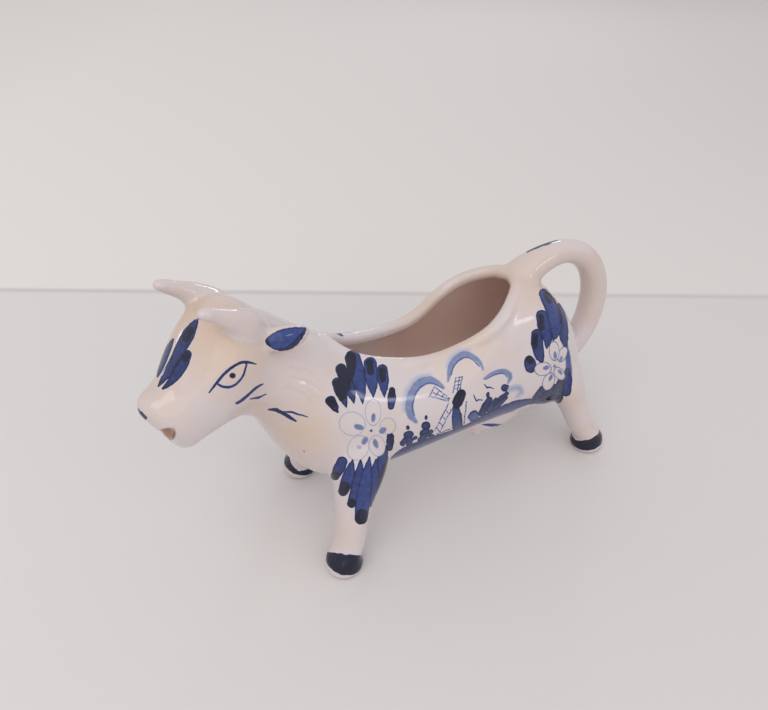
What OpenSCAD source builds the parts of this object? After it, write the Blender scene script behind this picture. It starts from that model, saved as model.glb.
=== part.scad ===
// Cow creamer: a small standing cow as a cream jug, slip cast in glazed earthenware.
// The back is open for filling, the mouth is the pouring hole, the curled tail is the handle.
// Head toward -X, tail toward +X, the cow's left side toward -Y, hooves on z = 0.
// Outlines are shares of the cow's height, so the whole figure follows that one size.

/* [Figure] */
// height of the cow from the table to the horn tips
cow_height = 100; // [85:1:120]
// width of the barrel of the body at its widest
body_width = 40; // [36:0.5:44]
// thickness of the fired wall of body, neck and head
wall = 2.8; // [2.2:0.1:3.4]
// angle the head is turned toward the cow's left side
head_turn = 16.8; // [8:0.2:22]

/* [Filling mouth] */
// thickness of the rolled lip round the open back
lip_thickness = 4.2; // [3.4:0.1:5.2]
// width of the open back at its widest, on the middle of the lip
mouth_opening_width = 25.6; // [21:0.2:28]

/* [Pouring mouth] */
// width of the hole in the cow's mouth
pour_width = 7.2; // [5.6:0.1:8]
// height of the hole in the cow's mouth
pour_height = 4.6; // [4.2:0.1:5.6]

/* [Horns and ears] */
// thickness of a horn at its root
horn_root = 9; // [8:0.1:10]
// thickness of a horn at its blunt tip
horn_tip = 3.2; // [2.8:0.1:4]
// height of an ear at its widest
ear_height = 6.6; // [5.8:0.1:8]
// thickness of an ear
ear_thickness = 3.4; // [2.8:0.1:4.2]

/* [Tail handle] */
// thickness of the curled tail along the free loop
tail_thickness = 8.6; // [7:0.1:10]

/* [Legs and udder] */
// thickness of a leg above the hoof
leg_thickness = 10.4; // [8.5:0.1:12]
// diameter of a hoof on the table
hoof_diameter = 11.6; // [10:0.1:13.5]
// height of the painted hoof
hoof_height = 5.6; // [4.5:0.1:7]
// rounding of the lower edge of a hoof
hoof_round = 2.2; // [1.6:0.1:2.6]
// width of the udder
udder_width = 19; // [16:0.5:22]
// thickness of a teat
teat_thickness = 3.2; // [2.6:0.1:4]

/* [Hidden] */
sides = 40;
small_sides = 24;
lip_sides = 14;
steps = 2;
overrun = cow_height * 0.01;
clay = [0.91, 0.86, 0.82];
cobalt = [0.12, 0.18, 0.42];
half = body_width / 2;

// Sections from rump to muzzle. Each row: top x, top z, bottom x, bottom z (shares of height),
// half width (share of the body's half width), share of the section height at which it is
// widest, squareness (2 is an ellipse), share of the head turn.
trunk_shares = [
  [0.602, 0.374, 0.602, 0.279, 0.26, 0.48, 2.1, 0],
  [0.578, 0.451, 0.578, 0.239, 0.58, 0.43, 2.3, 0],
  [0.534, 0.544, 0.534, 0.217, 0.80, 0.40, 2.5, 0],
  [0.484, 0.625, 0.484, 0.207, 0.91, 0.38, 2.5, 0],
  [0.425, 0.682, 0.425, 0.207, 0.97, 0.38, 2.3, 0],
  [0.360, 0.719, 0.360, 0.212, 1.00, 0.39, 2.1, 0],
  [0.290, 0.731, 0.290, 0.218, 1.00, 0.39, 2.0, 0],
  [0.220, 0.719, 0.220, 0.222, 1.00, 0.41, 2.0, 0],
  [0.140, 0.677, 0.140, 0.224, 1.00, 0.45, 2.0, 0],
  [0.060, 0.621, 0.060, 0.224, 1.00, 0.51, 2.0, 0],
  [-0.030, 0.602, -0.030, 0.224, 1.00, 0.53, 2.0, 0],
  [-0.120, 0.617, -0.130, 0.224, 1.00, 0.51, 2.0, 0],
  [-0.200, 0.644, -0.240, 0.226, 0.98, 0.49, 2.0, 0],
  [-0.260, 0.679, -0.345, 0.244, 0.93, 0.47, 2.0, 0]];
neck_shares = [
  [-0.310, 0.719, -0.417, 0.312, 0.85, 0.48, 2.0, 0],
  [-0.360, 0.759, -0.465, 0.396, 0.75, 0.48, 2.0, 0.15],
  [-0.410, 0.804, -0.495, 0.470, 0.66, 0.48, 2.0, 0.3]];
// The head rows give the distance forward of the turning point instead of x.
turn_point_share = -0.45;
head_shares = [
  [0.010, 0.847, 0.071, 0.530, 0.61, 0.48, 2.0, 0.6],
  [0.060, 0.899, 0.104, 0.564, 0.615, 0.50, 2.0, 0.85],
  [0.120, 0.921, 0.138, 0.587, 0.625, 0.54, 2.0, 1],
  [0.173, 0.891, 0.177, 0.594, 0.605, 0.57, 2.1, 1],
  [0.230, 0.832, 0.217, 0.591, 0.53, 0.58, 2.2, 1],
  [0.288, 0.773, 0.252, 0.577, 0.42, 0.56, 2.1, 1],
  [0.336, 0.757, 0.275, 0.567, 0.37, 0.55, 2.1, 1],
  [0.356, 0.745, 0.297, 0.580, 0.28, 0.55, 2.0, 1],
  [0.363, 0.720, 0.316, 0.616, 0.14, 0.55, 2.0, 1]];

// place along the cow and turn of a head row
function head_x(u, turn) = turn_point_share - u * cos(turn);
function head_y(u, turn) = -u * sin(turn);
// centre, half width, height up, height down, lean, squareness and turn of one section
function body_row(r) = let (w = r[5], l = norm([r[0] - r[2], r[1] - r[3]]))
  [r[2] + w * (r[0] - r[2]), 0, r[3] + w * (r[1] - r[3]), r[4] * half / cow_height,
   (1 - w) * l, w * l, atan2(r[0] - r[2], r[1] - r[3]), r[6], r[7] * head_turn];
function head_row(r) = let (w = r[5], l = norm([r[0] - r[2], r[1] - r[3]]),
  u = r[2] + w * (r[0] - r[2]), turn = r[7] * head_turn)
  [head_x(u, turn), head_y(u, turn), r[3] + w * (r[1] - r[3]), r[4] * half / cow_height,
   (1 - w) * l, w * l, atan2(r[2] - r[0], r[1] - r[3]), r[6], turn];
function blend(a, b, c, d, t) = 0.5 * ((2 * b) + (c - a) * t + (2 * a - 5 * b + 4 * c - d) * t * t
  + (3 * b - a - 3 * c + d) * t * t * t);
function smooth(rows, n) = let (last = len(rows) - 1)
  [for (i = [0 : last - 1], s = [0 : n - 1])
     blend(rows[max(i - 1, 0)], rows[i], rows[i + 1], rows[min(i + 2, last)], s / n), rows[last]];
cow_rows = smooth(concat([for (r = trunk_shares) body_row(r)], [for (r = neck_shares) body_row(r)],
                         [for (r = head_shares) head_row(r)]), steps);
trunk_last = len(trunk_shares) * steps;
neck_last = (len(trunk_shares) + len(neck_shares)) * steps;
cow_last = len(cow_rows) - 1;
// the inner skin is cut midway between the outer sections, so no two faces coincide
mid_rows = [for (i = [0 : cow_last - 1]) (cow_rows[i] + cow_rows[i + 1]) / 2];

function bend(c, p) = sign(c) * pow(abs(c), 2 / p);
// moves the figure so that the middle of its outer box stands over the origin
centre_share = 0.017;
module centred() { translate([centre_share * cow_height, 0, 0]) children(); }
// one ring of points, shrunk by an inset for the inner skin
function ring(r, inset) = [for (k = [0 : sides - 1]) let (a = 360 * k / sides,
    v = (r[3] * cow_height - inset) * bend(cos(a), r[7]),
    w = ((sin(a) > 0 ? r[4] : r[5]) * cow_height - inset) * bend(sin(a), r[7]))
    [r[0] * cow_height - v * sin(r[8]) + w * sin(r[6]) * cos(r[8]),
     r[1] * cow_height + v * cos(r[8]) + w * sin(r[6]) * sin(r[8]),
     r[2] * cow_height + w * cos(r[6])]];
// middle of a ring of points
function middle(a, k = 0) = k == len(a) - 1 ? a[k] / len(a) : a[k] / len(a) + middle(a, k + 1);
// convex piece between two rings, with a blunt tongue that reaches into the next piece
module slab(a, b, tongue) {
  n = len(a);
  reach = middle(b) + tongue * (middle(b) - middle(a));
  hull() polyhedron(points = concat(a, b, [reach]), faces = concat([[for (k = [0 : n - 1]) k]],
    [for (k = [0 : n - 1]) [(k + 1) % n, k, n + k, n + (k + 1) % n]],
    [for (k = [0 : n - 1]) [n + (k + 1) % n, n + k, 2 * n]]));
}
tongue_share = 0.25;
module tube(rings) {
  last = len(rings) - 2;
  for (i = [0 : last]) slab(rings[i], rings[i + 1], i < last ? tongue_share : 0);
}
// closed skin through the rings of the cow
module skin(first, last) {
  n = sides;
  m = last - first;
  polyhedron(points = [for (i = [first : last]) each ring(cow_rows[i], 0)],
    faces = concat([[for (k = [0 : n - 1]) n - 1 - k]], [[for (k = [0 : n - 1]) m * n + k]],
      [for (i = [0 : m - 1], k = [0 : n - 1]) let (l = (k + 1) % n) each
        [[i * n + k, i * n + l, (i + 1) * n + l], [i * n + k, (i + 1) * n + l, (i + 1) * n + k]]]));
}
module hollow(first, last) {
  tube([for (i = [first : last]) ring(mid_rows[i], wall)]);
}

// Lip of the open back: x, half width (share of the opening's half width), z of the lip's middle
lip_shares = [
  [-0.290, 0.00, 0.689], [-0.262, 0.22, 0.662], [-0.222, 0.39, 0.631], [-0.175, 0.51, 0.609],
  [-0.115, 0.62, 0.590], [-0.045, 0.74, 0.575], [0.030, 0.80, 0.571], [0.090, 0.87, 0.583],
  [0.145, 0.97, 0.605], [0.195, 1.00, 0.629], [0.245, 0.90, 0.657], [0.295, 0.66, 0.681],
  [0.334, 0.38, 0.695], [0.350, 0.00, 0.700]];
lip_rows = smooth(lip_shares, steps);
lip_last = len(lip_rows) - 1;
function lip_point(i) = [lip_rows[i][0] * cow_height, lip_rows[i][1] * mouth_opening_width / 2,
                         lip_rows[i][2] * cow_height];
lip_path = concat([for (i = [0 : lip_last]) lip_point(i)],
                  [for (i = [lip_last - 1 : -1 : 1]) let (p = lip_point(i)) [p[0], -p[1], p[2]]]);
function unit(v) = v / norm(v);
// ring of a round or oval tube at one point of a path
function path_ring(path, i, ra, rb, n, side) = let (last = len(path) - 1,
  d = unit(path[min(i + 1, last)] - path[max(i - 1, 0)]), s = unit(cross(d, side)), u = cross(s, d))
  [for (k = [0 : n - 1]) path[i] + rb * cos(360 * k / n) * s + ra * sin(360 * k / n) * u];
function loop_ring(path, i, r, n) = let (m = len(path), d = unit(path[(i + 1) % m] - path[(i + m - 1) % m]),
  s = unit(cross(d, [0, 0, 1])), u = cross(s, d))
  [for (k = [0 : n - 1]) path[i] + r * cos(360 * k / n) * s + r * sin(360 * k / n) * u];

module lip() {
  m = len(lip_path);
  for (i = [0 : m - 1]) slab(loop_ring(lip_path, i, lip_thickness / 2, lip_sides),
    loop_ring(lip_path, (i + 1) % m, lip_thickness / 2, lip_sides), tongue_share);
}
module back_opening() {
  for (i = [0 : lip_last - 1]) hull() for (j = [i, i + 1]) let (p = lip_point(j))
    translate([p[0], 0, p[2] + cow_height / 8])
      cube([overrun / 2, 2 * p[1] + overrun / 4, cow_height / 3], center = true);
}
module body_form() {
  skin(0, trunk_last);
}
module head_form() {
  skin(neck_last, cow_last);
}
module neck_form() {
  skin(trunk_last, neck_last);
}

module trunk() {
  color(clay) centred() union() {
    difference() {
      body_form();
      hollow(2, trunk_last);
      back_opening();
    }
    lip();
  }
}

module neck() {
  color(clay) centred() difference() {
    neck_form();
    hollow(trunk_last - 2, neck_last + 1);
  }
}

// Pouring hole: distance forward of the turning point and z along its middle
pour_shares = [[0.235, 0.683], [0.255, 0.675], [0.275, 0.667], [0.292, 0.659], [0.305, 0.653],
               [0.317, 0.647], [0.328, 0.641], [0.340, 0.634], [0.355, 0.626], [0.375, 0.616]];
function head_point(u, v, z) = [turn_point_share * cow_height - u * cos(head_turn) - v * sin(head_turn),
                                -u * sin(head_turn) + v * cos(head_turn), z];
pour_path = [for (p = pour_shares) head_point(p[0] * cow_height, 0, p[1] * cow_height)];
module pour_hole() {
  side = [-sin(head_turn), cos(head_turn), 0];
  tube([for (i = [0 : len(pour_path) - 1])
    path_ring(pour_path, i, pour_width / 2, pour_height / 2, small_sides, side)]);
}
module head() {
  color(clay) centred() difference() {
    head_form();
    hollow(neck_last - 1, cow_last - 6);
    pour_hole();
  }
}

// Horn: distance forward, sideways (share of half the width), z, share of the way to tip thickness
horn_shares = [[0.028, 0.25, 0.806, 0.85], [0.058, 0.31, 0.840, 0.36], [0.090, 0.38, 0.872, 0.17],
               [0.120, 0.42, 0.899, 0.38], [0.150, 0.44, 0.925, 0.62], [0.175, 0.44, 0.943, 0.82],
               [0.196, 0.44, 0.958, 0.98], [0.209, 0.44, 0.965, 1.08], [0.216, 0.44, 0.969, 1.25]];
horn_rows = smooth(horn_shares, steps);
module horn(dir) {
  path = [for (r = horn_rows) head_point(r[0] * cow_height, dir * r[1] * half, r[2] * cow_height)];
  color(clay) centred() difference() {
    tube([for (i = [0 : len(path) - 1]) let (r = (horn_root + (horn_tip - horn_root) * horn_rows[i][3]) / 2)
      path_ring(path, i, r, r, small_sides, [0, 1, 0])]);
    head_form();
    neck_form();
  }
}
module left_horn() { horn(-1); }
module right_horn() { horn(1); }

// Ear: distance forward, sideways (share of half the body width), z, share of its full height and thickness
ear_shares = [[0.085, 0.35, 0.822, 0.30], [0.062, 0.48, 0.824, 0.72], [0.032, 0.55, 0.817, 1.0],
              [0.000, 0.59, 0.811, 0.98], [-0.030, 0.605, 0.809, 0.76], [-0.054, 0.61, 0.811, 0.34]];
ear_rows = smooth(ear_shares, steps);
module ear(dir, drop) {
  path = [for (r = ear_rows)
    head_point(r[0] * cow_height, dir * r[1] * half, (r[2] - drop) * cow_height)];
  color(clay) centred() difference() {
    tube([for (i = [0 : len(path) - 1]) let (s = ear_rows[i][3])
      path_ring(path, i, ear_height * s / 2, ear_thickness * s / 2, small_sides, [0, -dir * 0.35, 1])]);
    head_form();
    neck_form();
  }
}
module left_ear() { ear(-1, 0); }
right_ear_drop_share = 0.048;
// the right ear sits a little lower, out of sight behind the crown of the head
module right_ear() { ear(1, right_ear_drop_share); }

// Tail: x, z of its middle and share of the loop's thickness
tail_shares = [[0.330, 0.644, 1.30], [0.385, 0.689, 1.28], [0.440, 0.716, 1.10], [0.500, 0.730, 0.96],
               [0.560, 0.728, 0.90], [0.625, 0.699, 0.93], [0.680, 0.641, 1.0], [0.712, 0.566, 1.04],
               [0.720, 0.489, 1.06], [0.708, 0.414, 1.04], [0.676, 0.351, 1.02], [0.628, 0.307, 1.04],
               [0.570, 0.284, 1.1]];
tail_rows = smooth(tail_shares, steps);
module tail_handle() {
  path = [for (r = tail_rows) [r[0] * cow_height, 0, r[1] * cow_height]];
  color(clay) centred() difference() {
    tube([for (i = [0 : len(path) - 1]) let (r = tail_rows[i][2] * tail_thickness / 2)
      path_ring(path, i, r, r, small_sides, [0, 1, 0])]);
    body_form();
    lip();
  }
}

// Udder: x, z of its middle, half width and half depth as shares of the udder's width
udder_shares = [[0.155, 0.229, 0.10], [0.178, 0.219, 0.32], [0.225, 0.211, 0.46], [0.290, 0.207, 0.50],
                [0.360, 0.211, 0.48], [0.430, 0.219, 0.38], [0.485, 0.229, 0.24], [0.510, 0.235, 0.10]];
udder_rows = smooth(udder_shares, steps);
module udder_form() {
  path = [for (r = udder_rows) [r[0] * cow_height, 0, r[1] * cow_height]];
  tube([for (i = [0 : len(path) - 1]) let (r = udder_rows[i][2] * udder_width)
    path_ring(path, i, r, r * 0.9, small_sides, [0, 1, 0])]);
}
module udder() {
  color(clay) centred() difference() {
    udder_form();
    body_form();
  }
}
// Teat: x as a share of height, then sideways and below the udder's middle as shares of its width
teat_shares = [0.222, 0.305, 0.290];
module teat(dir) {
  color(clay) centred() difference() {
    translate([teat_shares[0] * cow_height, dir * teat_shares[1] * udder_width,
               udder_shares[2][1] * cow_height - teat_shares[2] * udder_width]) {
      sphere(d = teat_thickness, $fn = small_sides);
      cylinder(d = teat_thickness, h = 2 * teat_thickness, $fn = small_sides);
    }
    udder_form();
    body_form();
  }
}
module left_teat() { teat(-1); }
module right_teat() { teat(1); }

// Legs, from just above the hoof up: x, sideways (share of half the width), z, share of thickness
front_left_foot_shares = [-0.361, 1.085];
front_right_foot_shares = [-0.315, 1.1];
rear_foot_shares = [0.635, 0.89];
front_left_shares = [[-0.336, 1.03, 0.094, 0.97], [-0.318, 0.97, 0.159, 0.99],
                    [-0.300, 0.89, 0.224, 1.10], [-0.277, 0.8, 0.289, 1.44], [-0.263, 0.68, 0.359, 1.78],
                    [-0.264, 0.565, 0.429, 1.74], [-0.265, 0.42, 0.489, 1.56]];
front_right_shares = [[-0.302, 1.03, 0.094, 0.97], [-0.294, 0.97, 0.159, 0.99],
                    [-0.286, 0.89, 0.224, 1.10], [-0.278, 0.8, 0.289, 1.36], [-0.270, 0.68, 0.359, 1.7],
                    [-0.266, 0.565, 0.429, 1.74], [-0.265, 0.42, 0.489, 1.56]];
rear_shares = [[0.598, 0.84, 0.109, 0.94], [0.570, 0.79, 0.179, 0.99], [0.543, 0.725, 0.244, 1.14],
               [0.515, 0.65, 0.309, 1.36], [0.492, 0.565, 0.379, 1.46], [0.476, 0.48, 0.439, 1.4],
               [0.468, 0.36, 0.489, 1.2]];
module leg(foot, shares, dir) {
  r = leg_thickness / 2;
  rows = smooth(concat([[foot[0] * cow_height, foot[1] * half, hoof_height, 1]],
    [for (a = shares) [a[0] * cow_height, a[1] * half, a[2] * cow_height, a[3]]]), steps);
  color(clay) centred() difference() {
    tube([for (a = rows) [for (k = [0 : small_sides - 1]) let (t = 360 * k / small_sides)
      [a[0] + a[3] * r * cos(t), dir * a[1] + a[3] * r * sin(t), a[2]]]]);
    body_form();
    neck_form();
  }
}
module hoof(foot, dir) {
  r = hoof_diameter / 2;
  color(cobalt) centred() translate([foot[0] * cow_height, dir * foot[1] * half, 0])
    rotate_extrude($fn = 2 * small_sides) union() {
      polygon([[0, 0], [r - hoof_round, 0], [r - hoof_round, hoof_round], [r, hoof_round],
               [leg_thickness / 2, hoof_height], [0, hoof_height]]);
      translate([r - hoof_round, hoof_round]) circle(r = hoof_round, $fn = 2 * small_sides);
    }
}
module front_left_leg() { leg(front_left_foot_shares, front_left_shares, -1); }
module front_right_leg() { leg(front_right_foot_shares, front_right_shares, 1); }
module rear_left_leg() { leg(rear_foot_shares, rear_shares, -1); }
module rear_right_leg() { leg(rear_foot_shares, rear_shares, 1); }
module front_left_hoof() { hoof(front_left_foot_shares, -1); }
module front_right_hoof() { hoof(front_right_foot_shares, 1); }
module rear_left_hoof() { hoof(rear_foot_shares, -1); }
module rear_right_hoof() { hoof(rear_foot_shares, 1); }

trunk();
neck();
head();
left_horn();
right_horn();
left_ear();
right_ear();
tail_handle();
udder();
left_teat();
right_teat();
front_left_leg();
front_right_leg();
rear_left_leg();
rear_right_leg();
front_left_hoof();
front_right_hoof();
rear_left_hoof();
rear_right_hoof();
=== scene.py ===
"""Looks of the cow creamer: one glazed skin over the formed parts, and its cobalt brushwork."""
import math

import bpy
from mathutils import Matrix, Vector
from mathutils.bvhtree import BVHTree


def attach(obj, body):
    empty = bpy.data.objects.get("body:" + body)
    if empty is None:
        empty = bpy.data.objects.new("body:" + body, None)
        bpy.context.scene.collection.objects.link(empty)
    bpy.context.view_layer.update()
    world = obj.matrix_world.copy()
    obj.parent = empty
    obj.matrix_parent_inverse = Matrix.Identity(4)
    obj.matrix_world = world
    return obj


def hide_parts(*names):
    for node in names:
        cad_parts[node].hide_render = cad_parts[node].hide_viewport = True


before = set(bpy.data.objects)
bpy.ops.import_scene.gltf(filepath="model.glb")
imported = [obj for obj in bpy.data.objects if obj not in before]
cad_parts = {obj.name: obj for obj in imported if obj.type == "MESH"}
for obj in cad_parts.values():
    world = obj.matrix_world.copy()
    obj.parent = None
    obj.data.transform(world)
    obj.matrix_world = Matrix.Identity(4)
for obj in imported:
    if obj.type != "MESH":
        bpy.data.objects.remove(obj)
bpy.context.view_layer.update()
MM = 0.001
PARTS = sorted(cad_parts)
LEGS = ("front_left_leg", "front_right_leg", "rear_left_leg", "rear_right_leg")

# ---------------------------------------------------------------- the painter's eye
# The brushwork is laid out on a sheet of 768 by 710 steps, thrown onto the cow from the camera's place.
SHEET_WIDE, SHEET_MIDDLE, SHEET_SCALE = 768, (384, 355), 699.84
SHEET_PLACE = Vector((-0.08669, -0.14335, 0.17955))
TURN, TILT, LEAN = math.radians(-28.78), math.radians(37.0), math.radians(-0.63)
TOWARD = Vector((math.sin(TURN) * math.cos(TILT), -math.cos(TURN) * math.cos(TILT), math.sin(TILT)))
LEVEL = (-TOWARD).cross(Vector((0, 0, 1))).normalized()
RISE = LEVEL.cross(-TOWARD)
ACROSS = LEVEL * math.cos(LEAN) + RISE * math.sin(LEAN)
UPWARD = -LEVEL * math.sin(LEAN) + RISE * math.cos(LEAN)
# The head is turned about this upright line; HEAD_SIDE points to the cow's right.
HEAD_PIVOT, HEAD_TURN = Vector((-0.0433, 0, 0)), math.radians(16.8)
HEAD_SIDE = Vector((-math.sin(HEAD_TURN), math.cos(HEAD_TURN), 0))
HEAD_AHEAD = Vector((-math.cos(HEAD_TURN), -math.sin(HEAD_TURN), 0))
HEAD_PARTS = ("head", "left_horn", "right_horn", "left_ear", "right_ear")


def on_sheet(p):
    """where a point falls on the painter's sheet"""
    q = p - SHEET_PLACE
    step = SHEET_SCALE / -q.dot(TOWARD)
    return SHEET_MIDDLE[0] + step * q.dot(ACROSS), SHEET_MIDDLE[1] - step * q.dot(UPWARD)


def sight(across, down):
    """the way from the painter's eye through a place on the sheet"""
    return ACROSS * (across - SHEET_MIDDLE[0]) + UPWARD * (SHEET_MIDDLE[1] - down) - TOWARD * SHEET_SCALE


def across_head(p):
    """a point brought over to the other side of the head"""
    return p - 2 * (p - HEAD_PIVOT).dot(HEAD_SIDE) * HEAD_SIDE


def to_near_side(p, n, part):
    """a point and its normal, brought over from the far side of the cow to the side that the painter sees"""
    if part in HEAD_PARTS:
        if (p - HEAD_PIVOT).dot(HEAD_SIDE) > 0:
            return across_head(p), n - 2 * n.dot(HEAD_SIDE) * HEAD_SIDE
    elif p.y > 0:
        return Vector((p.x, -p.y, p.z)), Vector((n.x, -n.y, n.z))
    return p, n


def ease(low, high, x):
    """0 at low and beyond, 1 at high and beyond, and a smooth step between"""
    t = min(1, max(0, (x - low) / (high - low)))
    return t * t * (3 - 2 * t)


def select_only(*objects):
    bpy.ops.object.select_all(action="DESELECT")
    for o in objects:
        o.select_set(True)
    bpy.context.view_layer.objects.active = objects[0]


def work(shape, kind, name, **settings):
    """a shape worked by one modifier, which is applied at once"""
    made = shape.modifiers.new(name, kind)
    for setting, value in settings.items():
        setattr(made, setting, value)
    select_only(shape)
    bpy.ops.object.modifier_apply(modifier=name)


# ---------------------------------------------------------------- the glazed skin
SAME_POINT, VOXEL = 1e-7, 0.6 * MM
clay_points, clay_faces, clay_parts, copies = [], [], [], []
for part in PARTS:
    shape = bpy.data.objects.new("clay_" + part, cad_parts[part].data.copy())
    bpy.context.scene.collection.objects.link(shape)
    select_only(shape)
    bpy.ops.object.mode_set(mode="EDIT")
    bpy.ops.mesh.select_all(action="SELECT")
    bpy.ops.mesh.remove_doubles(threshold=SAME_POINT)
    bpy.ops.object.mode_set(mode="OBJECT")
    start = len(clay_points)
    clay_points += [v.co.copy() for v in shape.data.vertices]
    for face in shape.data.polygons:
        clay_faces.append([start + i for i in face.vertices])
        clay_parts.append(part)
    copies.append(shape)
clay = BVHTree.FromPolygons(clay_points, clay_faces)


def under_brush(across, down):
    """the spot on the clay that shows at a place on the sheet"""
    return clay.ray_cast(SHEET_PLACE, sight(across, down))[0]


def part_at(p):
    return clay_parts[clay.find_nearest(p)[2]]


# The mouth's corners are drawn back into the cheeks, so that the pouring hole shows from the side: the near corner's
# place on the sheet, and the mouth's middle, ahead of the head's pivot and over the table.
MOUTH_CORNER, MOUTH_MIDDLE = (169, 432), (0.0315, 0.0625)
# Each knife is an egg from the middle to a corner and a little past it.
KNIFE_PAST, KNIFE_HALF_WIDE, KNIFE_HALF_HIGH, KNIFE_SEGMENTS, KNIFE_RINGS = 1.2 * MM, 2.2 * MM, 1.7 * MM, 32, 16
near_corner = under_brush(*MOUTH_CORNER)
middle = HEAD_PIVOT + HEAD_AHEAD * MOUTH_MIDDLE[0] + Vector((0, 0, MOUTH_MIDDLE[1]))
mouth_knives = []
for corner in (near_corner, across_head(near_corner)):
    reach = corner - middle
    bpy.ops.mesh.primitive_uv_sphere_add(segments=KNIFE_SEGMENTS, ring_count=KNIFE_RINGS,
                                         location=(corner + middle) / 2,
                                         rotation=reach.to_track_quat("X", "Z").to_euler())
    knife = bpy.context.object
    knife.scale = (reach.length / 2 + KNIFE_PAST, KNIFE_HALF_WIDE, KNIFE_HALF_HIGH)
    bpy.context.view_layer.update()
    mouth_knives.append(knife.matrix_world.inverted())
    work(bpy.data.objects["clay_head"], "BOOLEAN", "mouth", operation="DIFFERENCE", object=knife)
    bpy.data.objects.remove(knife)


def from_mouth(p):
    """how far a point lies from the middle of the nearer mouth cut, where 1 is the surface of the cut"""
    return min((to_knife @ p).length for to_knife in mouth_knives)


select_only(*copies)
bpy.ops.object.join()
skin = bpy.context.view_layer.objects.active
skin.name = "skin"
skin.data.materials.clear()
work(skin, "REMESH", "slip", mode="VOXEL", voxel_size=VOXEL, use_smooth_shade=True)

# How far the wet sponge softens each part: 1 for the large forms, less where a thin part has to keep its size.
SPONGE_SHARES = {"trunk": 1, "neck": 1, "head": 1, "udder": 0.8, "tail_handle": 0.7, **dict.fromkeys(LEGS, 0.8)}
THIN_SHARE, MOUTH_SHARE = 0.3, 0.25
# Middle of the rolled lip, in millimetres: x, half width, z.
LIP = [(-27.3, 0, 68.9), (-24.5, 2.8, 66.2), (-20.5, 5, 63.1), (-15.8, 6.5, 60.9), (-9.8, 7.9, 59), (-2.8, 9.5, 57.5),
       (4.7, 10.2, 57.1), (10.7, 11.1, 58.3), (16.2, 12.4, 60.5), (21.2, 12.8, 62.9), (26.2, 11.5, 65.7),
       (31.2, 8.4, 68.1), (35.1, 4.9, 69.5), (36.7, 0, 70)]
lip_line = [Vector(p) * MM for p in LIP]
# The sponge spares the lip above this height, and hardly touches what lies near its middle line, in millimetres, or
# near the mouth's cuts.
LIP_FROM, NEAR_LIP, NEAR_MOUTH = 54 * MM, (2.2, 4.2), (1.2, 2.0)


def off_lip(p):
    """distance from the middle of the lip"""
    q, best = Vector((p.x, abs(p.y), p.z)), 1.0
    for a, b in zip(lip_line, lip_line[1:]):
        along = b - a
        t = min(1, max(0, (q - a).dot(along) / along.length_squared))
        best = min(best, (q - a - along * t).length)
    return best


# The horns' roots are thumbed into the crown: sheet place and reach, and the share of the reach that is pressed fully.
THUMBED = [((252, 334), 8 * MM), ((232, 326), 6 * MM)]
PRESSED_FULLY, THUMBED_PARTS = 0.4, ("head", "left_horn", "right_horn", "neck")
# Each pass moves a point half way toward its neighbours.
SPONGE_PASSES, THUMB_PASSES, HALF_WAY = 36, 90, 0.5
thumbs = []
for place, far in THUMBED:
    spot = under_brush(*place)
    thumbs += [(spot, far), (across_head(spot), far)]
thumb, sponge = [skin.vertex_groups.new(name=name) for name in ("thumb", "sponge")]
for v in skin.data.vertices:
    part = part_at(v.co)
    share = SPONGE_SHARES.get(part, THIN_SHARE)
    if part == "trunk" and v.co.z > LIP_FROM:
        share *= THIN_SHARE + (1 - THIN_SHARE) * ease(*NEAR_LIP, off_lip(v.co) / MM)
    if part == "head":
        share *= MOUTH_SHARE + (1 - MOUTH_SHARE) * ease(*NEAR_MOUTH, from_mouth(v.co))
    sponge.add([v.index], share, "REPLACE")
    if part in THUMBED_PARTS:
        pressed = max(ease(far, far * PRESSED_FULLY, (v.co - spot).length) for spot, far in thumbs)
        thumb.add([v.index], pressed, "REPLACE")
# A modifier that is applied makes the groups anew, so they are called by name here.
work(skin, "SMOOTH", "soften", factor=HALF_WAY, iterations=SPONGE_PASSES, vertex_group="sponge")
work(skin, "SMOOTH", "press", factor=HALF_WAY, iterations=THUMB_PASSES, vertex_group="thumb")

# ---------------------------------------------------------------- where the brush can reach
# Middle line of the hollow body, in millimetres: x, z. What looks toward it is the inside of the pot.
CORE = [(-72, 62), (-58, 72), (-44, 62), (-30, 50), (0, 42), (30, 44), (52, 46)]
HOLLOW_PARTS = ("trunk", "neck", "head")


def outward(p, n):
    """how squarely a surface looks away from the middle of the hollow: 1 is the outside, -1 the inner wall"""
    x = p.x / MM
    for (x0, z0), (x1, z1) in zip(CORE, CORE[1:]):
        if x0 <= x <= x1:
            aside = min(0, p.x - HEAD_PIVOT.x) * math.tan(HEAD_TURN)
            core = Vector((p.x, aside, (z0 + (z1 - z0) * (x - x0) / (x1 - x0)) * MM))
            return n.dot((p - core).normalized())
    return 1


# Where the glaze is thin and warm: sheet place, reach, share.
WARM = [((212, 325), 24 * MM, 1.0), ((300, 442), 17 * MM, 0.5), ((530, 272), 26 * MM, 0.45),
        ((600, 290), 20 * MM, 0.35), ((262, 418), 12 * MM, 0.35), ((420, 311), 18 * MM, 0.55),
        ((152, 385), 12 * MM, 0.45), ((338, 530), 12 * MM, 0.3), ((575, 400), 12 * MM, 0.35)]
HORN_WARMTH = 0.1
warm_spots = []
for place, reach, share in WARM:
    spot = under_brush(*place)
    warm_spots.append((to_near_side(spot, spot, part_at(spot))[0], reach, share))
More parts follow.
